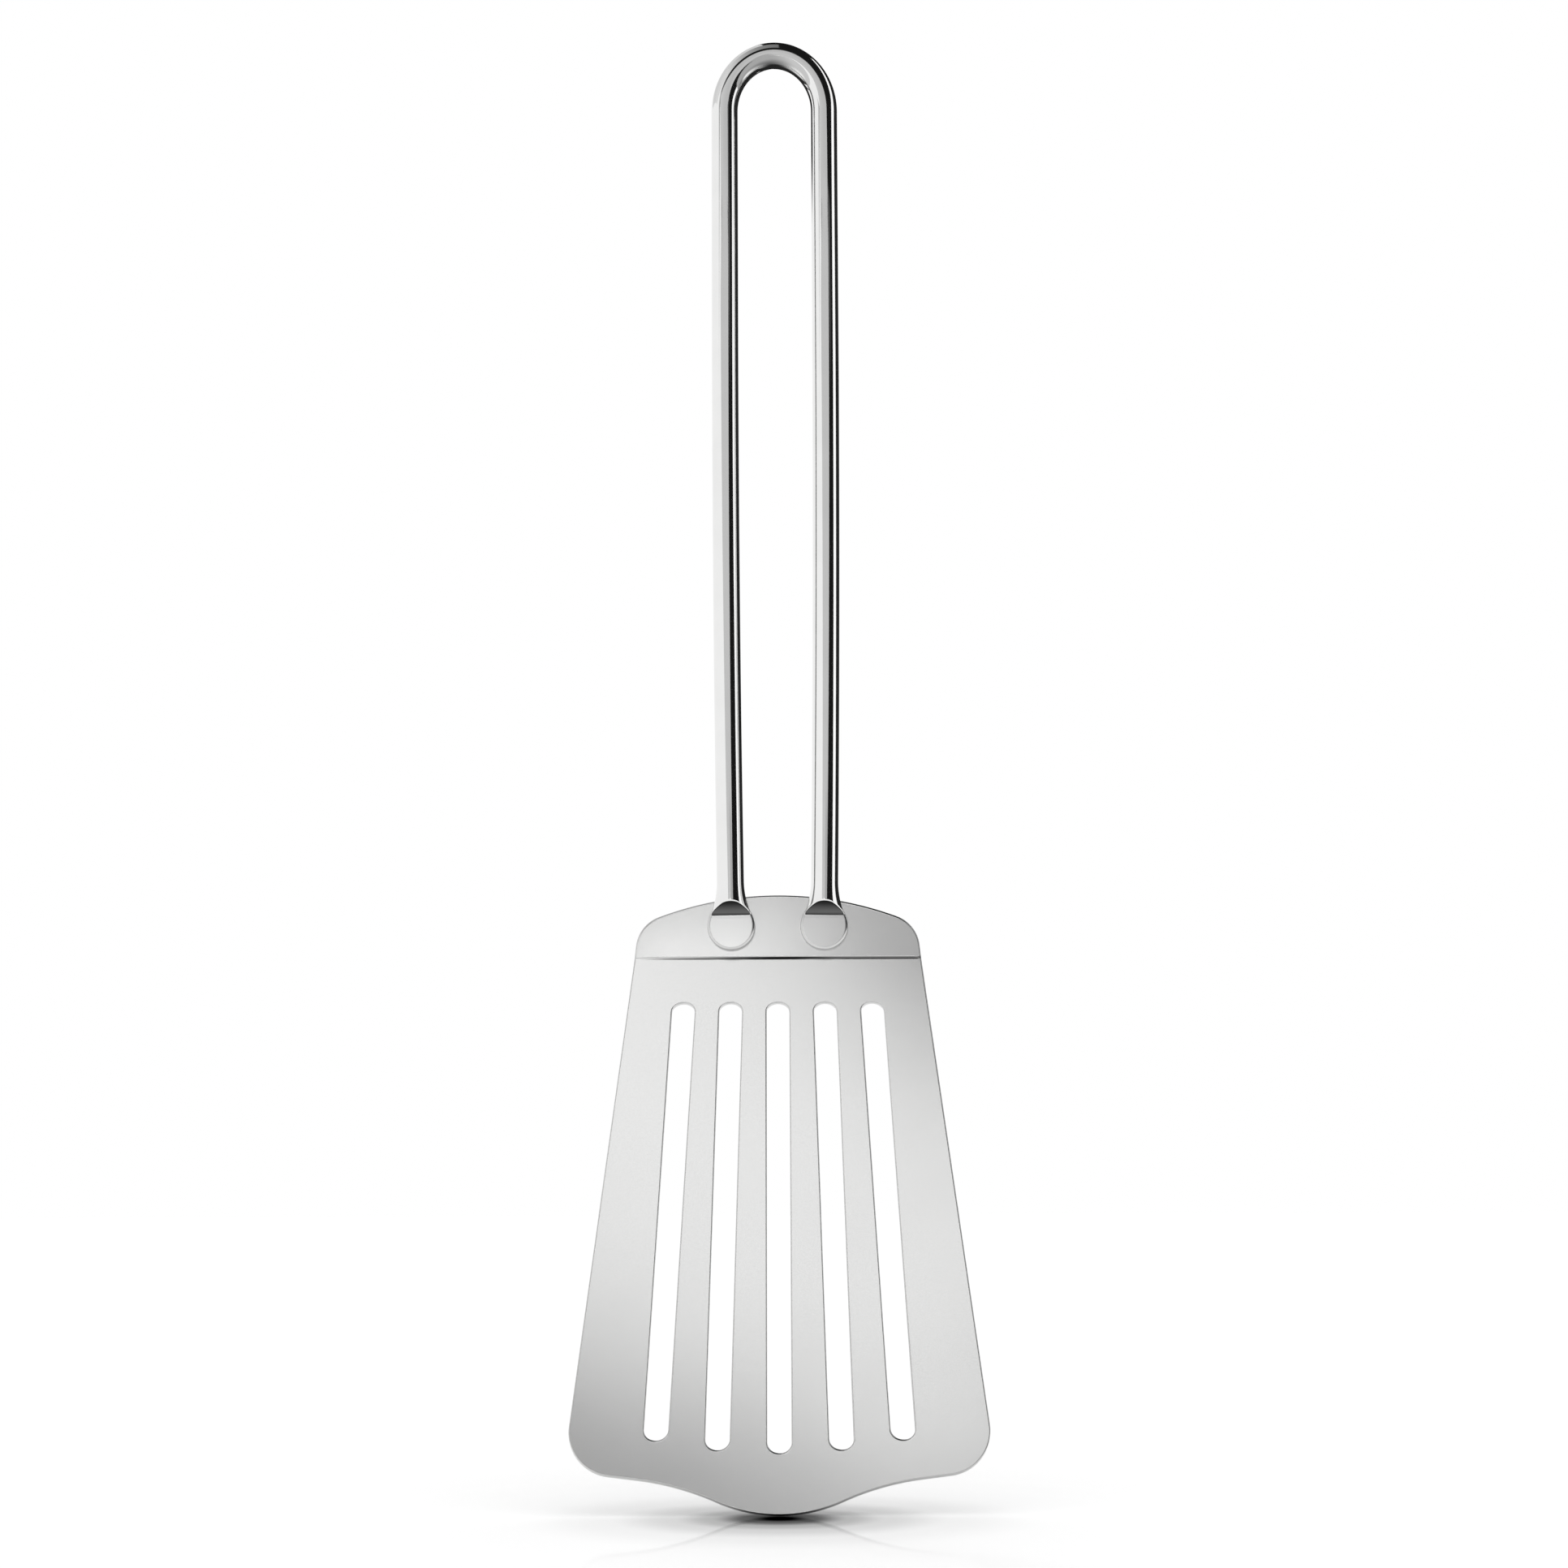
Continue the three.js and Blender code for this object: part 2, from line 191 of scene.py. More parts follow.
# Worked out from the sizes above
LOOP_CENTRE_Z = ROD_RADIUS - LOOP_RISE
FOOT_Z = -HANDLE_DROP
FOOT_FRONT_Y = ROD_RADIUS - FOOT_THICKNESS
NECK_FILLET = (ROD_RADIUS ** 2 + NECK_LENGTH ** 2 - FOOT_RADIUS ** 2) / (2 * (FOOT_RADIUS - ROD_RADIUS))
NECK_FILLET_END = NECK_LENGTH * FOOT_RADIUS / (FOOT_RADIUS + NECK_FILLET)
FACET_SLOPE = (FACET_TOP - FACET_BOTTOM) / (FOOT_FRONT_Y + ROD_RADIUS)
FOLD_LENGTH = FOLD_RADIUS * FOLD_ANGLE
MARK_Z = FOLD_Z - FOLD_RADIUS * math.sin(FOLD_ANGLE / 2)    # middle of the bending mark on the food side

# Cards that only reflections see, in metres
BLACK = 0.01
DARK = 0.02
CARD_FOOT = -0.32                 # just over the floor
GREY_DISTANCE = 1.5
GREY_JOIN = 0.02                  # height at which the two parts of the grey front meet
GREY_JOIN_SIDES = (-0.61, 0.603)
GREY_TOP = 0.52
GREY_BRIGHTNESS = 0.62
STRIP_DISTANCE = 0.45
STRIP_JOIN = 0.17                 # height at which the two parts of the right strip meet
STRIP_ENDS = (-0.165, 0.04)
STRIP_BRIGHTNESS = 1.15
OVERHEAD_LEVEL = 1.0
OVERHEAD_JOIN = 0.1               # y at which the front and back pair of the overhead cards meet
OVERHEAD_RIGHT = 0.06             # x at which the two of the front pair meet
OVERHEAD_LEFT = -0.15             # x at which the two of the back pair meet
OVERHEAD_END = 2.2
OVERHEAD_BACK = 1.6
LOOP_LEVEL = LOOP_CENTRE_Z * MM
LOOP_CARD_FRONT = -0.076
LOOP_CARD_BACK = 0.03
LOOP_CARD_JOIN = 0.0015           # x at which the left one of the front cards ends
LOOP_CARD_GAP = 0.0004            # keeps two cards at the loop out of one plane
LOOP_CARD_EDGE = dict(start=0.003, end=0.011)    # from the legs' centre lines, where those cards come in
LOOP_DARK_ENDS = (LOOP_CARD_BACK, 0.004)
FOOT_CARD_DROP = 1.0              # millimetres from the facets' lower edge down to the cards below them
FOOT_CARD_ENDS = (0.005, 0.016)   # from the middle, on both sides

# In front: what the legs, the bend and its shoulders mirror
FRONT_CARDS = {
    "grey_front": dict(
        distance=GREY_DISTANCE, low=GREY_JOIN, high=GREY_TOP, low_sides=GREY_JOIN_SIDES,
        high_sides=(-1.155, 0.93), brightness=GREY_BRIGHTNESS),
    "grey_front_low": dict(
        distance=GREY_DISTANCE, low=CARD_FOOT, high=GREY_JOIN, low_sides=(-0.24, 0.38),
        high_sides=GREY_JOIN_SIDES, brightness=GREY_BRIGHTNESS,
        fade=dict(axis="X", start=0.0, end=0.13, brightness=0.45)),
    "dark_front_high": dict(
        distance=1.52, low=GREY_TOP, high=1.25, low_sides=(-0.85, 1.6), high_sides=(-1.6, 1.6),
        brightness=0.1),
    "black_front_right": dict(
        distance=1.7, low=CARD_FOOT, high=2.4, low_sides=(-0.15, 4.3), high_sides=(-0.15, 4.3),
        brightness=BLACK),
    "loop_front": dict(
        distance=0.25, low=0.06, high=0.17, low_sides=(-0.165, 0.138), high_sides=(-0.245, 0.075),
        brightness=0.66, fade=dict(axis="X", start=-0.2, end=0.06, brightness=0.56)),
    "loop_dark_right": dict(
        distance=0.0625, low=-0.005, high=0.055, low_sides=(0.045, 0.12), high_sides=(0.015, 0.12),
        brightness=BLACK),
    "dark_gap": dict(
        distance=0.5, low=0.38, high=0.72, low_sides=(-0.8, 0.9), high_sides=(-0.8, 0.9), slant=0.35,
        brightness=BLACK, clearing=dict(axis="X", start=-0.75, end=-0.3)),
}

# Square to X: the bright line along the right of the legs, and the dark inside the bend
SIDE_CARDS = {
    "right_strip": dict(
        distance=STRIP_DISTANCE, low=CARD_FOOT, high=STRIP_JOIN, low_ends=STRIP_ENDS, high_ends=STRIP_ENDS,
        brightness=STRIP_BRIGHTNESS),
    "right_strip_top": dict(
        distance=STRIP_DISTANCE, low=STRIP_JOIN, high=0.78, low_ends=STRIP_ENDS, high_ends=(0.1, 0.28),
        brightness=STRIP_BRIGHTNESS),
    "loop_dark_middle": dict(
        distance=0.0, low=-0.035, high=0.002, low_ends=LOOP_DARK_ENDS, high_ends=LOOP_DARK_ENDS,
        brightness=DARK, clearing=dict(axis="Z", start=-0.035, end=-0.015)),
}

# Behind on the right, between two directions in degrees: the dark lines beside the bright one
UPRIGHT_CARDS = {
    "dark_right_back": dict(left=97.0, right=178.0, low=-0.02, high=2.2, distance=1.9, brightness=DARK),
    "dark_right_near": dict(
        left=100.0, right=155.0, low=-0.25, high=0.1, distance=0.17, brightness=DARK,
        clearing=dict(axis="Z", start=-0.24, end=-0.17)),
}

# Overhead: what the crown of the loop mirrors
OVERHEAD_CARDS = {
    "overhead": dict(
        left=-OVERHEAD_END, right=OVERHEAD_RIGHT, front=-0.85, back=OVERHEAD_JOIN, brightness=0.78,
        fade=dict(axis="X", start=-1.0, end=OVERHEAD_RIGHT, brightness=0.2)),
    "overhead_back": dict(
        left=OVERHEAD_LEFT, right=1.5, front=OVERHEAD_JOIN, back=OVERHEAD_BACK, brightness=BLACK),
    "overhead_back_left": dict(
        left=-OVERHEAD_END, right=OVERHEAD_LEFT, front=OVERHEAD_JOIN, back=OVERHEAD_BACK, brightness=0.73),
    "overhead_right": dict(
        left=OVERHEAD_RIGHT, right=OVERHEAD_END, front=-0.95, back=OVERHEAD_JOIN, brightness=BLACK),
}

# Level with the start of the bend: what the inside of the bend mirrors below it
LOOP_CARDS = {
    "loop_shade_front": dict(
        left=-0.009, right=0.1, front=LOOP_CARD_FRONT, back=0.0, height=LOOP_LEVEL, brightness=0.45,
        fade=dict(axis="Y", start=-0.0173, end=0.0042, brightness=0.03),
        clearing=dict(axis="X", start=-0.008, end=LOOP_CARD_JOIN), around_legs=LOOP_CARD_EDGE),
    "loop_shade_right": dict(
        left=-0.05, right=LOOP_CARD_JOIN, front=LOOP_CARD_FRONT, back=0.0, height=LOOP_LEVEL - LOOP_CARD_GAP,
        brightness=0.66, around_legs=LOOP_CARD_EDGE),
    "loop_shade_inner": dict(
        left=-0.03, right=0.0075, front=0.0, back=LOOP_CARD_BACK, height=LOOP_LEVEL, brightness=DARK,
        around_legs=LOOP_CARD_EDGE),
    "loop_shade_back": dict(
        left=-0.3, right=0.3, front=LOOP_CARD_BACK, back=0.3, height=LOOP_LEVEL, brightness=DARK),
}

# Below each stamped facet: the dark that it mirrors
FOOT_CARD = dict(
    front=-0.006, back=FOOT_FRONT_Y * MM, height=(FOOT_Z + FACET_BOTTOM - FOOT_CARD_DROP) * MM,
    brightness=DARK, fade=dict(axis="Y", start=-0.0022, end=0.0002, brightness=0.14))

# Lamps in front, in metres. Those for the sheet lie side by side in one plane, all at one slope.
LAMP_Y = -0.6
SHEET_LAMP_SLOPE = -28.0 * DEGREE
SHEET_LAMPS = {
    "slanting_softbox": dict(x=-0.0979, z=0.229, length=0.565, width=0.248, radiance=1.24),
    "lower_left_softbox": dict(x=-0.1775, z=0.1219, length=0.3, width=0.016, radiance=1.24),
    "upper_left_softbox": dict(x=-0.1261, z=0.4581, length=0.4, width=0.13, radiance=1.2),
}
FLANGE_LAMP = dict(x=-0.033, z=-0.168, length=0.08, width=0.04, radiance=2.55)


# Meshes

def make_piece(name, points, normals, faces, material, node):
    """A mesh object in place of a CAD node, with its own smooth normals."""
    mesh = bpy.data.meshes.new(name)
    mesh.from_pydata((np.asarray(points) * MM).tolist(), [], faces)
    mesh.shade_smooth()
    mesh.normals_split_custom_set_from_vertices(np.asarray(normals).tolist())
    mesh.materials.append(material)
    piece = bpy.data.objects.new(name, mesh)
    bpy.context.collection.objects.link(piece)
    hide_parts(node)
    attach(piece, "root")
    return piece


def unit_rows(vectors):
    """Vectors brought to unit length."""
    return vectors / np.linalg.norm(vectors, axis=-1, keepdims=True)


# Blade outline, flat: x across, v up from the top of the fold

def arc(centre, radius, start, end):
    """Points on an arc, both ends included."""
    steps = max(3, math.ceil(abs(end - start) * radius / ARC_STEP))
    angles = np.linspace(start, end, steps + 1)
    return np.column_stack((centre[0] + radius * np.cos(angles), centre[1] + radius * np.sin(angles)))


def half_width(v):
    """Half the width between the straight side edges."""
    return FOLD_WIDTH / 2 - math.tan(SIDE_FLARE) * v


def flange_edge():
    """Right half of the flange edge, from the start of its corner to the middle of the arch."""
    arch_centre = np.array((0.0, FLANGE_HEIGHT - FLANGE_ARCH_RADIUS))
    reach = FLANGE_ARCH_RADIUS - FLANGE_CORNER_RADIUS
    inward = np.array((-math.cos(SIDE_FLARE), -math.sin(SIDE_FLARE)))
    along = np.array((-math.sin(SIDE_FLARE), math.cos(SIDE_FLARE)))
    start = np.array((half_width(0), 0.0)) + FLANGE_CORNER_RADIUS * inward
    offset = start - arch_centre
    half = offset @ along
    distance = -half + math.sqrt(half ** 2 - offset @ offset + reach ** 2)
    centre = start + distance * along
    meet = math.atan2(centre[1] - arch_centre[1], centre[0] - arch_centre[0])
    corner = arc(centre, FLANGE_CORNER_RADIUS, SIDE_FLARE, meet)
    arch = arc(arch_centre, FLANGE_ARCH_RADIUS, meet, math.pi / 2)
    return np.vstack((corner, arch[1:]))


def lower_edge():
    """Right half of the lower edge, from the tip of the tongue to the end of the corner."""
    down = -math.pi / 2
    tongue_centre = np.array((0.0, TONGUE_RADIUS - BLADE_LENGTH))
    flank_way = np.array((math.sin(FLANK_ANGLE), -math.cos(FLANK_ANGLE)))
    flank_centre = tongue_centre + (TONGUE_RADIUS + FLANK_RADIUS) * flank_way
    shoulder_in = np.array((-math.sin(SHOULDER_ANGLE), math.cos(SHOULDER_ANGLE)))
    side_in = np.array((-math.cos(SIDE_FLARE), -math.sin(SIDE_FLARE)))
    shoulder_start = flank_centre + FLANK_RADIUS * shoulder_in
    # the corner's centre lies one radius inside both the shoulder and the side edge
    reaches = (shoulder_start @ shoulder_in + CORNER_RADIUS, side_in[0] * FOLD_WIDTH / 2 + CORNER_RADIUS)
    corner_centre = np.linalg.solve(np.array((shoulder_in, side_in)), np.array(reaches))
    tongue = arc(tongue_centre, TONGUE_RADIUS, down, down + FLANK_ANGLE)
    flank = arc(flank_centre, FLANK_RADIUS, -down + FLANK_ANGLE, -down + SHOULDER_ANGLE)
    corner = arc(corner_centre, CORNER_RADIUS, down + SHOULDER_ANGLE, SIDE_FLARE)
    return np.vstack((tongue, flank[1:], corner))


def slot_edge(number):
    """One slot, clockwise, so that its outer side is the opening."""
    ends = ((-SLOT_TOP - SLOT_END_RISE, 1.0),
            (-(BLADE_LENGTH - SLOT_TIP_MARGIN - SLOT_STEP * number ** 2) + SLOT_END_RISE, -1.0))
    angles = np.linspace(0, math.pi, math.ceil(math.pi * SLOT_WIDTH / 2 / ARC_STEP) + 1)
    parts = []
    for height, sign in ends:
        v = height + sign * SLOT_END_RISE * np.sin(angles)
        axis = number * SLOT_PITCH - math.tan(number * SLOT_FAN) * v
        parts.append(np.column_stack((axis - sign * SLOT_WIDTH / 2 * np.cos(angles), v)))
    return np.vstack(parts)


def mirrored(points):
    """The left half of a line, running on from its right half."""
    return points[::-1] * np.array((-1.0, 1.0))


def blade_outline():
    """The closed outline, anticlockwise from the right end of the fold's upper row. Also gives where on it
    the fold's left end starts and ends, and where its right end starts."""
    margin = FOLD_MARGIN * MARK_HALF_WIDTH
    rows = np.linspace(margin, -FOLD_LENGTH - margin, FOLD_ROWS)
    right_rows = np.column_stack(([half_width(v) for v in rows], rows))
    left_rows = right_rows * np.array((-1.0, 1.0))
    flange = flange_edge()
    lower = lower_edge()
    flange_part = np.vstack((right_rows[:1], flange, mirrored(flange)[1:], left_rows[:1]))
    lower_part = np.vstack((left_rows[-1:], mirrored(lower), lower[1:], right_rows[-1:]))
    outline = np.vstack((flange_part, left_rows[1:-1], lower_part, right_rows[-2:0:-1]))
    left_start = len(flange_part) - 1
    left_end = left_start + FOLD_ROWS - 1
    right_start = left_end + len(lower_part) - 1
    return outline, left_start, left_end, right_start


# The fold

def mark_depth(x, v):
    """Depth of the bending mark below the food side."""
    across = (v + FOLD_LENGTH / 2) / MARK_HALF_WIDTH
    left = np.interp(x, MARK_LEFT_FADE, (0.0, 1.0))
    right = np.interp(x, MARK_RIGHT_FADE, (1.0, MARK_RIGHT_SHARE))
    return MARK_DEPTH * left * right * np.exp(-across ** 2)


def folded(x, v, depth):
    """Places of flat points, at a depth behind the food side, in the bent sheet."""
    turn = np.clip(-v / FOLD_RADIUS, 0.0, FOLD_ANGLE)
    radius = FOLD_RADIUS + depth
    above = np.maximum(v, 0.0)
    below = np.maximum(-v - FOLD_LENGTH, 0.0)
    y = SHEET_FRONT_Y - FOLD_RADIUS + radius * np.cos(turn) - below * np.sin(turn)
    z = FOLD_Z + above - radius * np.sin(turn) - below * np.cos(turn)
    return np.column_stack((x, y, z))


def folded_ways(v, across, up, back):
    """Directions given across, up along and through the flat sheet, turned with the fold."""
    turn = np.clip(-v / FOLD_RADIUS, 0.0, FOLD_ANGLE)
    y = up * np.sin(turn) + back * np.cos(turn)
    z = up * np.cos(turn) - back * np.sin(turn)
    return np.column_stack((np.broadcast_to(across, v.shape), y, z))


class Sheet:
    """Collects the blade's vertices, their normals and the faces. The food side faces -1, the back 1."""

    def __init__(self):
        self.points = []
        self.normals = []
        self.faces = []
        self.flat = []

    def add(self, flat, depth, across, up, back):
        """Adds a row of vertices and gives their numbers."""
        first = len(self.flat)
        x, v = flat[:, 0], flat[:, 1]
        share = np.clip(1.0 - depth / SHEET_THICKNESS, 0.0, 1.0)
        self.points.extend(folded(x, v, depth + mark_depth(x, v) * share))
        self.normals.extend(unit_rows(folded_ways(v, across, up, back)))
        self.flat.extend(flat.tolist())
        return list(range(first, first + len(flat)))

    def add_face_row(self, flat, depth, facing):
        """A row on one face, on the food side with the bending mark's slope."""
        x, v = flat[:, 0], flat[:, 1]
        rise = mark_depth(x, v + MARK_SLOPE_STEP) - mark_depth(x, v - MARK_SLOPE_STEP)
        up = rise / (2 * MARK_SLOPE_STEP) if facing < 0 else np.zeros(len(flat))
        depths = np.full(len(flat), depth)
        return self.add(flat, depths, np.zeros(len(flat)), up, np.full(len(flat), float(facing)))

    def add_edge(self, loop):
        """Rounded edge round a closed loop. Gives the vertex rows where it meets the two faces."""
        tangent = np.roll(loop, -1, axis=0) - np.roll(loop, 1, axis=0)
        outward = unit_rows(np.column_stack((tangent[:, 1], -tangent[:, 0])))
        front_radius = FRONT_EDGE_RADIUS + UPPER_EDGE_EXTRA * np.maximum(outward[:, 1], 0.0)
        back_radius = np.full(len(loop), BACK_EDGE_RADIUS)
        angles = np.linspace(0.0, math.pi / 2, EDGE_STEPS + 1)
        profile = [(angle, front_radius, 0.0) for angle in angles]
        back_start = SHEET_THICKNESS - 2 * back_radius
        profile += [(angle + math.pi / 2, back_radius, back_start) for angle in angles]
        rows = []
        for angle, radius, start in profile:
            inset = radius * (1.0 - math.sin(angle))
            depth = start + radius * (1.0 - math.cos(angle))
            flat = loop - inset[:, None] * outward
            ways = outward * math.sin(angle)
            back = np.full(len(loop), -math.cos(angle))
            rows.append(self.add(flat, depth, ways[:, 0], ways[:, 1], back))
        count = len(loop)
        for upper, lower in zip(rows, rows[1:]):
            for place in range(count):
                after = (place + 1) % count
                self.faces.append((upper[place], lower[place], lower[after], upper[after]))
        return rows[0], rows[-1]

    def add_fold(self, left, right, depth, facing):
        """Fine rows of faces over the fold, from its left rim to its right one. Gives the rows' vertices."""
        shares = np.linspace(0.0, 1.0, FOLD_COLUMNS + 1)[1:-1, None]
        lines = []
        for left_number, right_number in zip(left, right):
            ends = np.array((self.flat[left_number], self.flat[right_number]))
            inner = self.add_face_row(ends[0] + (ends[1] - ends[0]) * shares, depth, facing)
            lines.append([left_number] + inner + [right_number])
        for upper, lower in zip(lines, lines[1:]):
            for place in range(len(upper) - 1):
                quad = (upper[place], lower[place], lower[place + 1], upper[place + 1])
                self.faces.append(quad if facing < 0 else quad[::-1])
        return lines

    def fill(self, loops, facing):
        """Fills the face inside the first loop of vertices, round the others."""
        numbers = [number for loop in loops for number in loop]
        flat = [[Vector((*self.flat[number], 0.0)) for number in loop] for loop in loops]
        for triangle in tessellate_polygon(flat):
            a, b, c = (numbers[place] for place in triangle)
            ab = np.subtract(self.flat[b], self.flat[a])
            ac = np.subtract(self.flat[c], self.flat[a])
            area = ab[0] * ac[1] - ab[1] * ac[0]
            if abs(area) < LEAST_AREA:
                continue
            self.faces.append((a, b, c) if area * facing < 0 else (a, c, b))


def make_blade(material):
    """The folded sheet with its slots."""
    sheet = Sheet()
    outline, left_start, left_end, right_start = blade_outline()
    edges = sheet.add_edge(outline)
    slot_edges = [sheet.add_edge(slot_edge(number)) for number in SLOT_NUMBERS]
    for side, facing, depth in ((0, -1, 0.0), (1, 1, SHEET_THICKNESS)):
        rim = edges[side]
        left = rim[left_start:left_end + 1]
        right = (rim[right_start:] + rim[:1])[::-1]
        lines = sheet.add_fold(left, right, depth, facing)
        holes = [slot[side] for slot in slot_edges]
        sheet.fill([rim[:left_start] + lines[0][:-1]], facing)
        sheet.fill([rim[left_end:right_start] + lines[-1][:0:-1]] + holes, facing)
    return make_piece("blade_sheet", sheet.points, sheet.normals, sheet.faces, material,
                      node="blade")


# The handle's right half, from the crown of the loop to the foot

def leg_place(z):
    """Centre of the leg at a height, and the direction down along it."""
    share = max(0.0, (-z - BOW_START) / (HANDLE_DROP - BOW_START))
    slope = 2 * TOE_IN * share / (HANDLE_DROP - BOW_START)
    centre = np.array((LOOP_RADIUS - TOE_IN * share ** 2, 0.0, z))
    return centre, unit_rows(np.array((-slope, 0.0, -1.0)))


def neck_half_width(height):
    """Half width of the neck, and inside the disc a taper that stays within it."""
    drop = np.clip(NECK_LENGTH - height, 0.0, NECK_LENGTH - NECK_FILLET_END)
    wide = ROD_RADIUS + NECK_FILLET - np.sqrt(NECK_FILLET ** 2 - drop ** 2)
    return np.maximum(wide - NECK_TAPER * np.maximum(NECK_FILLET_END - height, 0.0), NECK_LEAST_HALF_WIDTH)


def facet_y(height):
    """Front of the foot: the rod's own front, the stamped slope and the disc's front."""
    return np.clip(FOOT_FRONT_Y - (height - FACET_BOTTOM) / FACET_SLOPE, -ROD_RADIUS, FOOT_FRONT_Y)


def soft_min(a, b, radius):
    """The lesser of two distances, rounded where they cross."""
    share = np.clip(0.5 + 0.5 * (b - a) / radius, 0.0, 1.0)
    return b * (1.0 - share) + a * share - radius * share * (1.0 - share)


def soft_max(a, b, radius):
    """The greater of two distances, rounded where they cross."""
    return -soft_min(-a, -b, radius)


def disc_distance(across, y, height):
    """Distance outside the disc with its rounded edges, negative inside."""
    middle = FOOT_FRONT_Y + FOOT_THICKNESS / 2
    edge = np.where(y < middle, FOOT_EDGE_RADIUS, FOOT_BACK_EDGE_RADIUS)
    out = np.hypot(across, height) - FOOT_RADIUS + edge
    through = np.abs(y - middle) - FOOT_THICKNESS / 2 + edge
    outside = np.hypot(np.maximum(out, 0.0), np.maximum(through, 0.0))
    return outside + np.minimum(np.maximum(out, through), 0.0) - edge


def neck_distance(across, y, height):
    """About the distance outside the flared neck, round in front and squared at the back."""
    wide = neck_half_width(height)
    flare = wide - ROD_RADIUS
    depth = y / ROD_RADIUS
    front = 0.5 * (depth - np.sqrt(depth ** 2 + NECK_SIDE_SOFTENING ** 2))
    narrowed = np.maximum(wide + np.maximum(flare, 0.0) * front, NECK_LEAST_FRONT)
    flare_share = np.clip(flare / (FOOT_RADIUS - ROD_RADIUS), 0.0, 1.0)
    power = ROUND_POWER + (BACK_SQUARENESS - ROUND_POWER) * flare_share
    power = np.where(y < 0.0, ROUND_POWER, power)
    ratio = np.abs(across) / narrowed
    level = (ratio ** power + np.abs(depth) ** power + TINY) ** (1.0 / power)
    return np.maximum((level - 1.0) * ROD_RADIUS, -height - FOOT_ROOT_RADIUS)


def foot_distance(across, y, height):
    """About the distance outside the forged foot and its neck, negative inside."""
    tilt = math.atan(FACET_SLOPE)
    before_disc = FOOT_FRONT_Y + FOOT_ROOT_DEPTH - y
    under_facet = (FACET_BOTTOM - height) * math.cos(tilt) + (FOOT_FRONT_Y - y) * math.sin(tilt)
    cut = soft_min(before_disc, under_facet, FOOT_ROOT_RADIUS)
    stamped = soft_max(neck_distance(across, y, height), cut, FACET_EDGE_RADIUS)
    return soft_min(stamped, disc_distance(across, y, height), FOOT_ROOT_RADIUS)


def foot_surface(start, way):
    """Where rays from inside the foot leave it, with the surface's normals there (local ways)."""
    near = np.zeros(len(way))
    far = np.full(len(way), FOOT_SEARCH_REACH)
    for _ in range(FOOT_SEARCH_STEPS):
        middle = (near + far) / 2
        inside = foot_distance(*(start + middle[:, None] * way).T) < 0.0
        near = np.where(inside, middle, near)
        far = np.where(inside, far, middle)
    places = start + near[:, None] * way
    slopes = []
    for axis in np.eye(3):
        ahead = foot_distance(*(places + FOOT_SLOPE_STEP * axis).T)
        behind = foot_distance(*(places - FOOT_SLOPE_STEP * axis).T)
        slopes.append(ahead - behind)
    return places, unit_rows(np.column_stack(slopes))


def rod_circle():
    """A unit circle with one point for each side of the rod."""
    angles = np.linspace(0.0, 2 * math.pi, ROD_SIDES, endpoint=False)
    return np.column_stack((np.cos(angles), np.sin(angles)))


def inner_way(down):
    """The direction square to the rod, towards the inside of the loop."""
    return np.array((down[2], 0.0, -down[0]))


def on_leg(local, centre, down):
    """Rows given across, back and up from a centre on the leg, in the object's own ways."""
    return centre + local[:, :1] * inner_way(down) + local[:, 1:2] * BACK - local[:, 2:] * down


def round_row(centre, down):
    """Places and normals of a ring of the round rod."""
    circle = rod_circle()
    ways = circle[:, :1] * inner_way(down) + circle[:, 1:] * BACK
    return centre + ROD_RADIUS * ways, ways


def rod_rows():
    """Rings of the bend and the leg, down to the neck."""
    rows = []
    for angle in np.linspace(math.pi / 2, 0.0, LOOP_STEPS, endpoint=False):
        centre = np.array((LOOP_RADIUS * math.cos(angle), 0.0, LOOP_CENTRE_Z + LOOP_RISE * math.sin(angle)))
        along = np.array((LOOP_RADIUS * math.sin(angle), 0.0, -LOOP_RISE * math.cos(angle)))
        rows.append(round_row(centre, unit_rows(along)))
    for z in np.linspace(LOOP_CENTRE_Z, FOOT_Z + NECK_LENGTH, LEG_STEPS, endpoint=False):
        rows.append(round_row(*leg_place(z)))
    return rows


def neck_rows():
    """Rings of the neck, down to the middle of the disc."""
    circle = rod_circle()
    rows = []
    for height in np.linspace(NECK_LENGTH, 0.0, NECK_STEPS + 1):
        centre, down = leg_place(FOOT_Z + height)
        front = float(facet_y(height))
        half_depth = (ROD_RADIUS - front) / 2
        if height > NECK_FILLET_END:
            wide = neck_half_width(height)
        else:
            wide = math.sqrt(FOOT_RADIUS ** 2 - height ** 2)
        start = np.array((0.0, front + half_depth, height))
        way = np.column_stack((circle[:, 0] * wide, circle[:, 1] * half_depth, np.zeros(ROD_SIDES)))
        places, normals = foot_surface(start, way)
        level = np.array((0.0, 0.0, height))
        rows.append((on_leg(places - level, centre, down), on_leg(normals, ORIGIN, down)))
    return rows


def disc_rows():
    """Rows from the front to the back of the half disc below the foot's middle, in order round it."""
    centre, down = leg_place(FOOT_Z)
    half_depth = FOOT_THICKNESS / 2
    start = np.array((0.0, FOOT_FRONT_Y + half_depth, 0.0))
    rises = np.linspace(-math.pi / 2, math.pi / 2, ROD_SIDES // 2 + 1)[1:-1]
    out = np.cos(rises) * FOOT_RADIUS
    rows = []
    for turn in np.linspace(0.0, math.pi, DISC_STEPS + 1)[1:-1]:
        way = np.column_stack((out * math.cos(turn), np.sin(rises) * half_depth, -out * math.sin(turn)))
        places, normals = foot_surface(start, way)
        rows.append((on_leg(places, centre, down), on_leg(normals, ORIGIN, down)))
    return rows


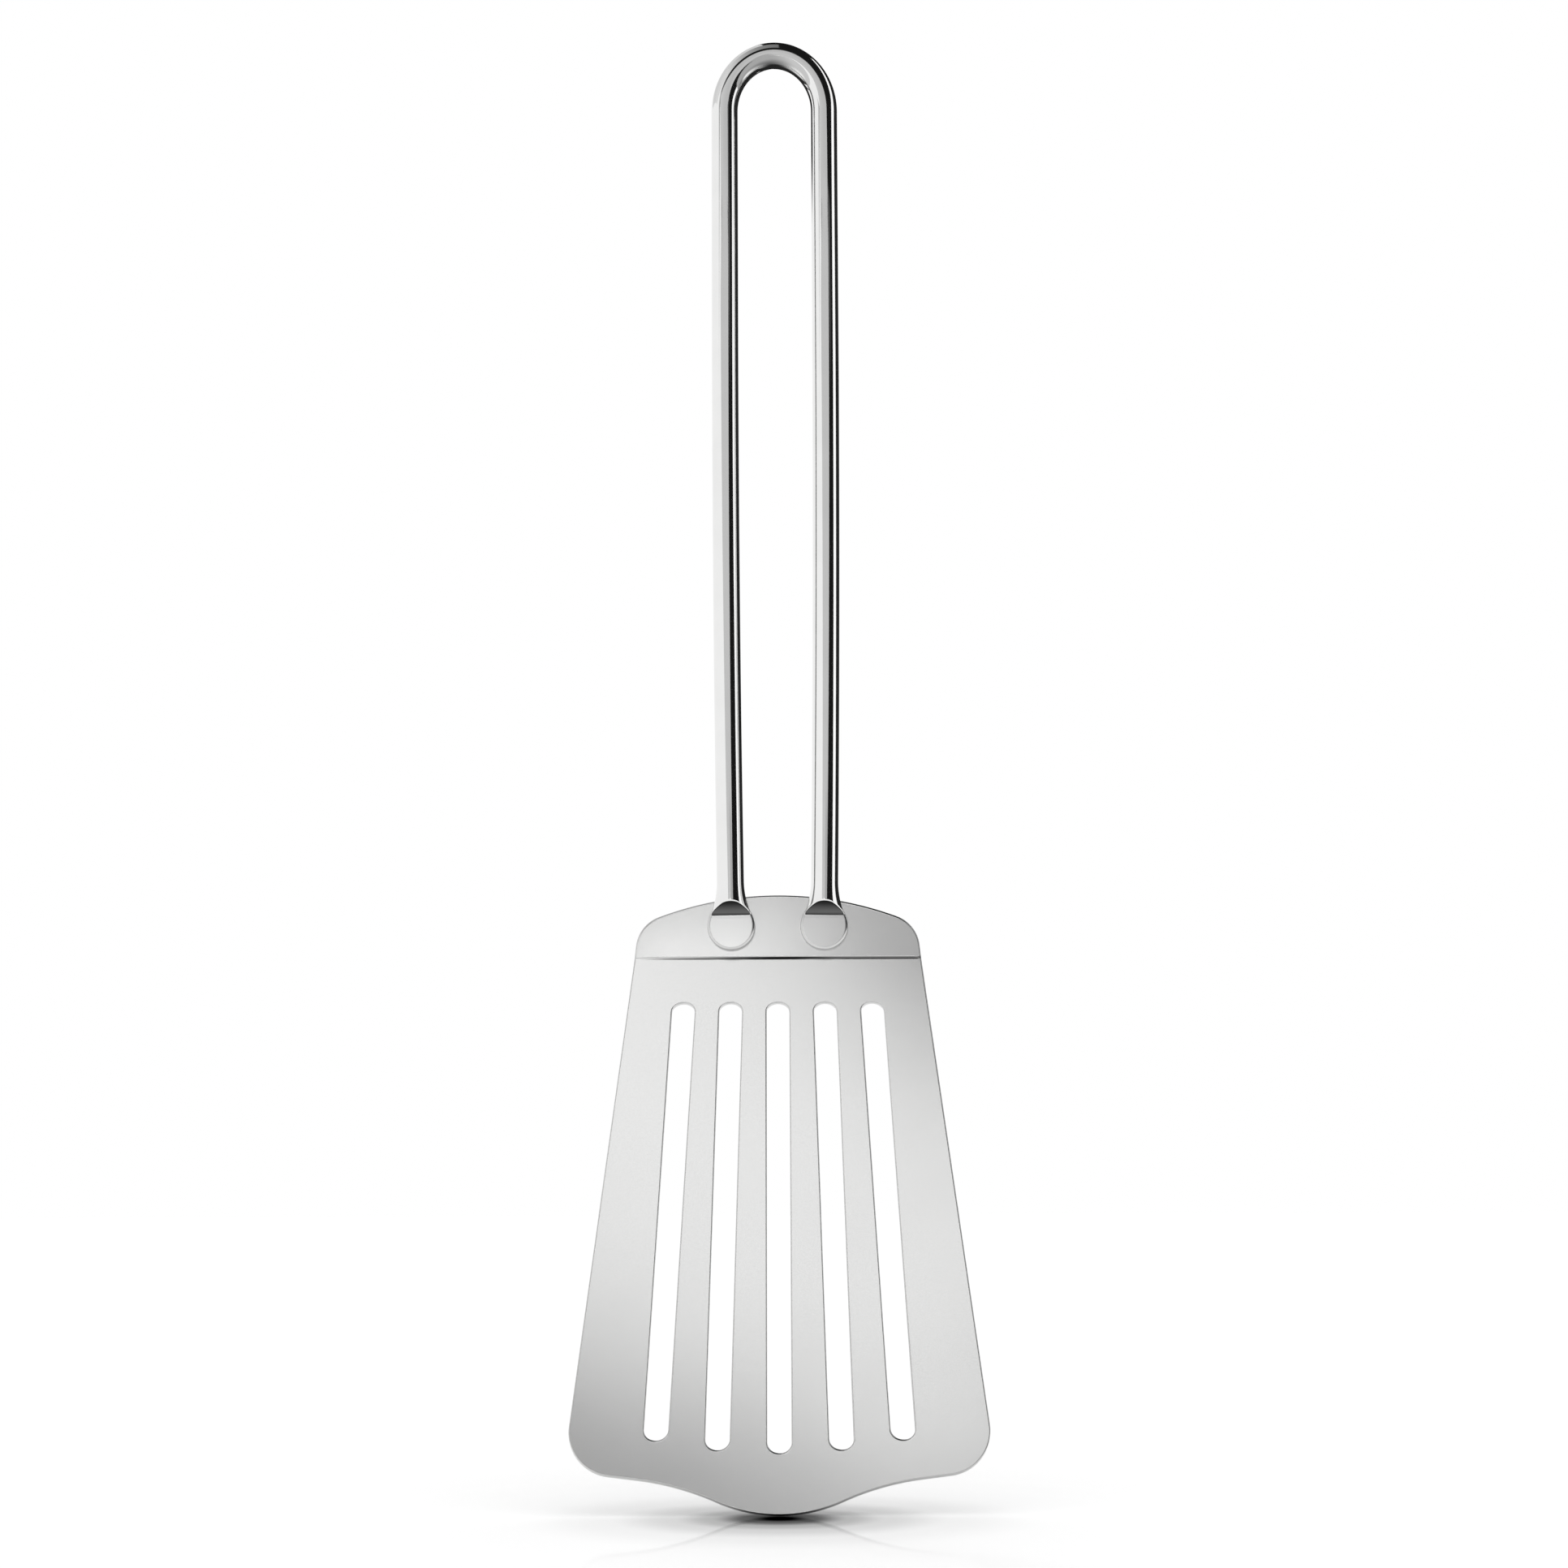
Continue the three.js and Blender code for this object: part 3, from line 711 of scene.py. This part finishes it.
class Rod:
    """Collects the handle's vertices, their normals and the faces. Side 1 is the right half, -1 the left."""

    def __init__(self):
        self.points = []
        self.normals = []
        self.faces = []

    def add(self, row, side):
        """Adds a row of places and normals and gives the vertices' numbers."""
        places, normals = row
        flip = np.array((side, 1.0, 1.0))
        first = len(self.points)
        self.points.extend(places * flip)
        self.normals.extend(normals * flip)
        return list(range(first, first + len(places)))

    def face(self, side, *corners):
        """Adds a face, turned over on the mirrored side."""
        self.faces.append(corners if side > 0 else corners[::-1])

    def add_disc(self, last, rows, side):
        """Closes the foot, from one half of the last ring to the other over the rows of the half disc."""
        quarter = ROD_SIDES // 4
        front = last[3 * quarter]
        behind = last[quarter]
        first_row = [last[(place - quarter) % ROD_SIDES] for place in range(1, 2 * quarter)]
        last_row = [last[(3 * quarter - place) % ROD_SIDES] for place in range(1, 2 * quarter)]
        disc = [first_row] + [self.add(row, side) for row in rows] + [last_row]
        for upper, lower in zip(disc, disc[1:]):
            self.face(side, front, upper[0], lower[0])
            for place in range(len(upper) - 1):
                self.face(side, upper[place], upper[place + 1], lower[place + 1], lower[place])
            self.face(side, upper[-1], behind, lower[-1])


def make_handle(material):
    """The bent rod with its two feet."""
    rows = rod_rows() + neck_rows()
    half_disc = disc_rows()
    rod = Rod()
    crown = rod.add(rows[0], 1)
    for side in (1, -1):
        rings = [crown] + [rod.add(row, side) for row in rows[1:]]
        for upper, lower in zip(rings, rings[1:]):
            for place in range(ROD_SIDES):
                after = (place + 1) % ROD_SIDES
                rod.face(side, upper[place], upper[after], lower[after], lower[place])
        rod.add_disc(rings[-1], half_disc, side)
    return make_piece("handle_rod", rod.points, rod.normals, rod.faces, material,
                      node="handle")


# Materials

class Finish:
    """A new material, with short ways to add nodes and link them."""

    def __init__(self, name):
        self.material = bpy.data.materials.new(name)
        self.material.use_nodes = True
        self.nodes = self.material.node_tree.nodes
        self.links = self.material.node_tree.links
        self.place = self.node("ShaderNodeTexCoord").outputs["Object"]

    def node(self, kind, **settings):
        """A new node with its settings."""
        node = self.nodes.new(kind)
        for setting, value in settings.items():
            setattr(node, setting, value)
        return node

    def link(self, source, target):
        """Feeds an output to an input."""
        self.links.new(source, target)

    def axes(self):
        """The places on the object along X, Y and Z, in its own metres."""
        node = self.node("ShaderNodeSeparateXYZ")
        self.link(self.place, node.inputs["Vector"])
        return node.outputs

    def noise(self, scale, detail, stretch=(1.0, 1.0, 1.0)):
        """A noise texture in the object's own metres."""
        mapping = self.node("ShaderNodeMapping")
        mapping.inputs["Scale"].default_value = stretch
        texture = self.node("ShaderNodeTexNoise")
        texture.inputs["Scale"].default_value = scale
        texture.inputs["Detail"].default_value = detail
        self.link(self.place, mapping.inputs["Vector"])
        self.link(mapping.outputs["Vector"], texture.inputs["Vector"])
        return texture.outputs["Fac"]

    def combine(self, operation, value, other=None):
        """A sum, product or the like of a value, with a number or another value where it takes one."""
        node = self.node("ShaderNodeMath", operation=operation)
        self.link(value, node.inputs[0])
        if isinstance(other, float):
            node.inputs[1].default_value = other
        elif other is not None:
            self.link(other, node.inputs[1])
        return node.outputs["Value"]

    def spread(self, value, low, high):
        """Maps a 0 to 1 value to a range."""
        return self.ramp(value, 0.0, 1.0, low, high, "LINEAR")

    def ramp(self, value, start, end, before, after, interpolation="SMOOTHSTEP"):
        """One number up to a start, another past an end, and a way between them."""
        node = self.node("ShaderNodeMapRange", interpolation_type=interpolation)
        node.inputs["From Min"].default_value = start
        node.inputs["From Max"].default_value = end
        node.inputs["To Min"].default_value = before
        node.inputs["To Max"].default_value = after
        self.link(value, node.inputs["Value"])
        return node.outputs["Result"]

    def band(self, value, middle, core, half_breadth):
        """1 where a value is within a core of the middle, falling softly to 0 on both sides of it."""
        distance = self.combine("ABSOLUTE", self.combine("SUBTRACT", value, middle))
        return self.ramp(distance, core, half_breadth, 1.0, 0.0)

    def shades(self, value, stops, interpolation="LINEAR", blue=1.0):
        """The greys that a value passes through, from stops of value and brightness."""
        node = self.node("ShaderNodeValToRGB")
        node.color_ramp.interpolation = interpolation
        elements = node.color_ramp.elements
        while len(elements) < len(stops):
            elements.new(0.5)
        for element, (position, brightness) in zip(elements, stops):
            element.position = position
            element.color = (brightness, brightness, brightness * blue, 1.0)
        self.link(value, node.inputs["Fac"])
        return node.outputs["Color"]

    def steel_greys(self, value, greys):
        """Two neutral steel greys, mixed by a noise value."""
        return self.shades(value, tuple(zip(GREY_STOPS, greys)), blue=STEEL_BLUE)

    def mix_colours(self, share, first, second):
        """A colour that turns into a second one, which may be a plain grey."""
        node = self.node("ShaderNodeMix", data_type="RGBA")
        self.link(share, node.inputs["Factor"])
        self.link(first, node.inputs["A"])
        if isinstance(second, float):
            node.inputs["B"].default_value = (second, second, second, 1.0)
        else:
            self.link(second, node.inputs["B"])
        return node.outputs["Result"]

    def mix_shaders(self, share, first, second):
        """A shader that turns into a second one."""
        node = self.node("ShaderNodeMixShader")
        self.link(share, node.inputs["Fac"])
        self.link(first, node.inputs[1])
        self.link(second, node.inputs[2])
        return node.outputs["Shader"]

    def bump(self, height, distance, strength):
        """Normals of a fine relief."""
        node = self.node("ShaderNodeBump")
        node.inputs["Strength"].default_value = strength
        node.inputs["Distance"].default_value = distance
        self.link(height, node.inputs["Height"])
        return node.outputs["Normal"]

    def metal(self, colour, roughness, normal):
        """Completes a bare metal and gives its material."""
        shader = self.nodes["Principled BSDF"]
        shader.inputs["Metallic"].default_value = 1.0
        self.link(colour, shader.inputs["Base Color"])
        self.link(roughness, shader.inputs["Roughness"])
        self.link(normal, shader.inputs["Normal"])
        return self.material

    def surface(self, shader):
        """Completes a material with a shader of its own and gives it."""
        self.nodes.remove(self.nodes["Principled BSDF"])
        self.link(shader, self.nodes["Material Output"].inputs["Surface"])
        return self.material


def painted_mark_shade(finish):
    """How much painted shade the bending mark puts on the sheet: along the fold, across it and through to
    the back.
    """
    axes = finish.axes()
    left = finish.ramp(axes["X"], MARK_LEFT_FADE[0] * MM, MARK_LEFT_FADE[1] * MM, 0.0, 1.0)
    right = finish.ramp(axes["X"], MARK_RIGHT_FADE[0] * MM, MARK_RIGHT_FADE[1] * MM, 1.0, MARK_RIGHT_SHARE)
    along = finish.combine("MULTIPLY", left, right)
    across = finish.band(axes["Z"], MARK_Z * MM, MARK_SHADE_CORE * MM, MARK_SHADE_HALF_WIDTH * MM)
    through = finish.ramp(axes["Y"], MARK_BACK_Y[0] * MM, MARK_BACK_Y[1] * MM, 1.0, MARK_BACK_SHADE_SHARE)
    return finish.combine("MULTIPLY", finish.combine("MULTIPLY", across, along), through)


def satin_steel():
    """Blasted and brushed sheet: a fine, nearly even grain over faint large-scale unevenness, and a dark
    line of painted shade along the crease of the fold.
    """
    finish = Finish("satin_steel")
    grain = finish.noise(**SATIN_GRAIN)
    cloud = finish.noise(**SATIN_CLOUD)
    steel = finish.steel_greys(grain, SATIN_GREYS)
    # the crease of the fold is darkened with painted shade, fainter on its outside
    colour = finish.mix_colours(painted_mark_shade(finish), steel, MARK_SHADE_GREY)
    roughness = finish.spread(cloud, *SATIN_ROUGHNESS)
    return finish.metal(colour, roughness, finish.bump(grain, **SATIN_BUMP))


def polished_steel():
    """Mirror-polished rod with the faint haze and fine lines of handling, and satin stamped discs."""
    finish = Finish("polished_steel")
    haze = finish.noise(**POLISHED_HAZE)
    lines = finish.noise(**POLISHED_LINES)
    disc_top = FOOT_Z + FACET_BOTTOM
    disc = finish.ramp(finish.axes()["Z"], disc_top * MM, (disc_top + DISC_BLEND) * MM, 1.0, 0.0)
    rod_colour = finish.steel_greys(haze, POLISHED_GREYS)
    disc_colour = finish.steel_greys(haze, SATIN_GREYS)
    colour = finish.mix_colours(disc, rod_colour, disc_colour)
    polish = finish.spread(haze, *POLISHED_ROUGHNESS)
    roughness = finish.combine("ADD", polish, finish.spread(disc, 0.0, DISC_EXTRA_ROUGHNESS))
    return finish.metal(colour, roughness, finish.bump(lines, **POLISHED_BUMP))


def weld_steel():
    """Dull, heat-stained nugget between foot and flange."""
    finish = Finish("weld_steel")
    stain = finish.noise(**WELD_STAIN)
    colour = finish.steel_greys(stain, WELD_GREYS)
    roughness = finish.spread(stain, *WELD_ROUGHNESS)
    return finish.metal(colour, roughness, finish.bump(stain, **WELD_BUMP))


def finish_welds(material):
    """Gives the welds' own solids their material."""
    for name in WELD_NODES:
        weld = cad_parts[name]
        weld.data.materials.clear()
        weld.data.materials.append(material)


# Floor

def stage_plane(name, corners, material):
    """A four-cornered plane that isn't part of the object."""
    mesh = bpy.data.meshes.new(name)
    mesh.from_pydata([tuple(corner) for corner in corners], [], [(0, 1, 2, 3)])
    mesh.materials.append(material)
    plane = bpy.data.objects.new(name, mesh)
    bpy.context.collection.objects.link(plane)
    return plane


def floor_material(contact):
    """Pale floor with a painted soft contact shadow, which also darkens its glow and its faint mirror image.
    The mirror image fades away from the contact.
    """
    finish = Finish("pale_floor")
    distance = finish.node("ShaderNodeVectorMath", operation="DISTANCE")
    distance.inputs[1].default_value = contact
    finish.link(finish.place, distance.inputs[0])
    away = distance.outputs["Value"]
    shadow = finish.shades(finish.combine("DIVIDE", away, SHADOW_REACH), SHADOW_STOPS, "EASE")
    diffuse = finish.node("ShaderNodeBsdfDiffuse")
    finish.link(shadow, diffuse.inputs["Color"])
    gloss = finish.node("ShaderNodeBsdfGlossy")
    gloss.inputs["Roughness"].default_value = MIRROR_ROUGHNESS
    finish.link(shadow, gloss.inputs["Color"])
    mirror = finish.ramp(away, 0.0, MIRROR_REACH, MIRROR_STRENGTH, 0.0)
    floor = finish.mix_shaders(mirror, diffuse.outputs["BSDF"], gloss.outputs["BSDF"])
    glow = finish.node("ShaderNodeEmission")
    glow.inputs["Strength"].default_value = FLOOR_GLOW
    finish.link(shadow, glow.inputs["Color"])
    total = finish.node("ShaderNodeAddShader")
    finish.link(floor, total.inputs[0])
    finish.link(glow.outputs["Emission"], total.inputs[1])
    return finish.surface(total.outputs["Shader"])


def make_floor():
    """The floor that the tip of the blade stands on."""
    level = cad_box[0][2] - FLOOR_GAP
    sides = ((-1, -1), (1, -1), (1, 1), (-1, 1))
    corners = [(x * FLOOR_REACH, y * FLOOR_REACH, level) for x, y in sides]
    contact = (0.0, cad_box[0][1] + SHADOW_OFFSET, level)
    stage_plane("floor", corners, floor_material(contact))


# Cards

def distance_from_legs(finish, axes):
    """How far a point is from the centre line of the nearer leg, in plan."""
    across = finish.combine("SUBTRACT", finish.combine("ABSOLUTE", axes["X"]), LOOP_RADIUS * MM)
    square_across = finish.combine("MULTIPLY", across, across)
    square_along = finish.combine("MULTIPLY", axes["Y"], axes["Y"])
    return finish.combine("SQRT", finish.combine("ADD", square_across, square_along))


def card_material(name, brightness, fade=None, clearing=None, around_legs=None):
    """Lit on its front, and clear from behind. A fade changes its light along an axis to another brightness.
    A clearing lets it come in from nothing along an axis, and around_legs does so away from the legs."""
    finish = Finish(name)
    axes = finish.axes()
    glow = finish.node("ShaderNodeEmission")
    glow.inputs["Strength"].default_value = brightness
    if fade is not None:
        light = finish.ramp(axes[fade["axis"]], fade["start"], fade["end"], brightness, fade["brightness"])
        finish.link(light, glow.inputs["Strength"])
    unseen = finish.node("ShaderNodeNewGeometry").outputs["Backfacing"]
    soft_edges = []
    if clearing is not None:
        soft_edges.append((axes[clearing["axis"]], clearing))
    if around_legs is not None:
        soft_edges.append((distance_from_legs(finish, axes), around_legs))
    for place, edge in soft_edges:
        thin = finish.ramp(place, edge["start"], edge["end"], 1.0, 0.0)
        unseen = finish.combine("MAXIMUM", unseen, thin)
    clear = finish.node("ShaderNodeBsdfTransparent")
    return finish.surface(finish.mix_shaders(unseen, glow.outputs["Emission"], clear.outputs["BSDF"]))


def reflector(name, corners, **light):
    """A card that only reflections see, lit on the side from which its corners run anticlockwise."""
    card = stage_plane(name, corners, card_material(name, **light))
    card.visible_camera = False
    card.visible_diffuse = False
    card.visible_shadow = False
    card.visible_transmission = False
    card.visible_volume_scatter = False


def front_card(name, distance, low, high, low_sides, high_sides, slant=0.0, **light):
    """A card square to the view, with sloping sides given as left and right at its low and high edge. Its
    edges rise to the right by the slant."""
    places = ((low_sides[1], low), (low_sides[0], low), (high_sides[0], high), (high_sides[1], high))
    corners = [Vector((side, -distance, height + slant * side)) for side, height in places]
    reflector(name, corners, **light)


def side_card(name, distance, low, high, low_ends, high_ends, **light):
    """A card square to X, with sloping ends given as front and back at its low and high edge. It is lit
    towards the left, or towards the right with its ends the other way round."""
    places = ((low_ends[1], low), (low_ends[0], low), (high_ends[0], high), (high_ends[1], high))
    corners = [Vector((distance, end, height)) for end, height in places]
    reflector(name, corners, **light)


def upright_card(name, left, right, low, high, distance, **light):
    """A card standing round the object. Left and right are degrees round from the camera's side."""
    middle = (left + right) / 2 * DEGREE
    half = distance * math.tan((right - left) / 2 * DEGREE)
    base = Vector((distance * math.sin(middle), -distance * math.cos(middle), 0.0))
    along = Vector((math.cos(middle), math.sin(middle), 0.0)) * half
    places = ((1, low), (-1, low), (-1, high), (1, high))
    corners = [base + way * along + Vector((0.0, 0.0, height)) for way, height in places]
    reflector(name, corners, **light)


def level_card(name, left, right, front, back, height, facing, **light):
    """A card lying over (facing -1) or under (facing 1) what mirrors it."""
    places = ((left, front), (right, front), (right, back), (left, back))
    corners = [Vector((x, y, height)) for x, y in places[::facing]]
    reflector(name, corners, **light)


def make_cards():
    """All the cards round the object."""
    for name, card in FRONT_CARDS.items():
        front_card(name, **card)
    for name, card in SIDE_CARDS.items():
        side_card(name, **card)
    for name, card in UPRIGHT_CARDS.items():
        upright_card(name, **card)
    for name, card in OVERHEAD_CARDS.items():
        level_card(name, height=OVERHEAD_LEVEL, facing=-1, **card)
    for name, card in LOOP_CARDS.items():
        level_card(name, facing=1, **card)
    for side in (-1, 1):
        left, right = sorted(side * end for end in FOOT_CARD_ENDS)
        level_card("foot_shade", left=left, right=right, facing=1, **FOOT_CARD)


# Lamps, world and camera

def soft_lamp(name, x, z, length, width, radiance, slope, receivers):
    """A soft lamp in front that lights only some pieces, with its length turned by a slope from level."""
    data = bpy.data.lights.new(name, "AREA")
    data.shape = "RECTANGLE"
    data.size = length
    data.size_y = width
    data.energy = math.pi * length * width * radiance
    lamp = bpy.data.objects.new(name, data)
    bpy.context.collection.objects.link(lamp)
    facing_back = Matrix.Rotation(math.pi / 2, 4, "X")
    lamp.matrix_world = Matrix.Translation((x, LAMP_Y, z)) @ Matrix.Rotation(-slope, 4, "Y") @ facing_back
    lamp.visible_camera = False
    lamp.light_linking.receiver_collection = receivers


def receivers_of(name, pieces):
    """A collection of the pieces that a lamp lights."""
    receivers = bpy.data.collections.new(name)
    for piece in pieces:
        receivers.objects.link(piece)
    return receivers


def make_lamps(blade, handle):
    """The sheet's soft light from the upper left, and a small lamp for the flange and the discs."""
    sheet = receivers_of("sheet", [blade])
    sheet_and_discs = receivers_of("sheet_and_discs", [blade, handle])
    for name, lamp in SHEET_LAMPS.items():
        soft_lamp(name, slope=SHEET_LAMP_SLOPE, receivers=sheet, **lamp)
    soft_lamp("low_left_softbox", slope=0.0, receivers=sheet_and_discs, **FLANGE_LAMP)


def make_world():
    """A plain white room."""
    world = bpy.data.worlds.new("studio")
    world.use_nodes = True
    background = world.node_tree.nodes["Background"]
    background.inputs["Color"].default_value = (1.0, 1.0, 1.0, 1.0)
    background.inputs["Strength"].default_value = 1.0
    bpy.context.scene.world = world


def make_camera():
    """The photograph's view."""
    data = bpy.data.cameras.new("photo_view")
    data.sensor_fit = "HORIZONTAL"
    data.sensor_width = SENSOR_WIDTH
    data.lens = SENSOR_WIDTH * FOCAL_PIXELS / IMAGE_WIDTH
    camera = bpy.data.objects.new("photo_view", data)
    bpy.context.collection.objects.link(camera)
    turn = Matrix.Rotation(math.pi / 2 + CAMERA_TILT_UP, 4, "X") @ Matrix.Rotation(CAMERA_ROLL, 4, "Z")
    camera.matrix_world = Matrix.Translation(Vector(CAMERA_PLACE) * MM) @ turn
    bpy.context.scene.camera = camera


blade_sheet = make_blade(satin_steel())
handle_rod = make_handle(polished_steel())
finish_welds(weld_steel())
make_world()
make_floor()
make_cards()
make_lamps(blade_sheet, handle_rod)
make_camera()
bpy.context.scene.view_settings.view_transform = "Standard"
